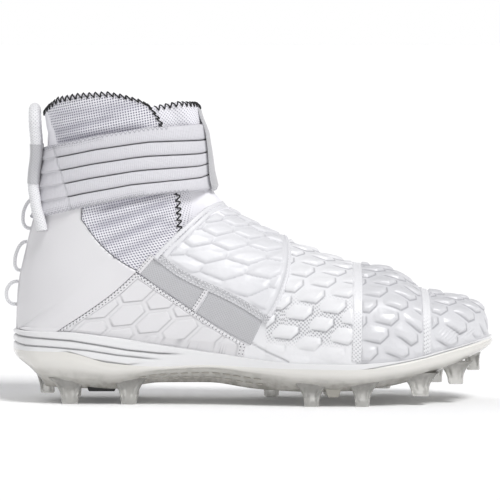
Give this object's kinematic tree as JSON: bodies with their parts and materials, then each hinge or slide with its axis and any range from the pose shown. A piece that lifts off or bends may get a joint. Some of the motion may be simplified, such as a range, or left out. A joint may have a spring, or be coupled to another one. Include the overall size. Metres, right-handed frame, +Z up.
{
  "type": "american football cleat",
  "caption": "High-cut right football cleat: hollow last-shaped upper with ankle and midfoot straps, tongue, insole and heel loops on a studded clear plate.",
  "frame": {"origin": "on the ground, under the middle of the shoe's bounding box", "axes": "+X from heel to toe, +Y to the inner (medial) side, +Z up"},
  "size_m": [0.3102, 0.1046, 0.1968],
  "materials": {
    "upper_white": "white coated mesh",
    "panel_white": "white coated synthetic",
    "strap_grey": "ribbed elastic",
    "tape_grey": "woven tape",
    "cord_white": "braided cord",
    "carrier_white": "satin moulded",
    "plate_pearl": "clear moulded",
    "insole_grey": "knit over foam"
  },
  "bodies": {
    "root": {"ankle_strap": "strap_grey", "front_shield": "tape_grey", "heel_loop_1": "cord_white", "heel_loop_2": "cord_white", "heel_loop_3": "cord_white", "heel_panel": "panel_white", "insole": "insole_grey", "midfoot_strap": "panel_white", "midsole": "carrier_white", "outsole": "plate_pearl", "pull_loop": "cord_white", "pull_loop_sleeve": "tape_grey", "quarter_overlay": "panel_white", "side_tape_lower": "tape_grey", "side_tape_upper": "tape_grey", "toe_tape_back": "panel_white", "toe_tape_front": "panel_white", "tongue": "upper_white", "upper": "upper_white"}
  },
  "joints": []
}
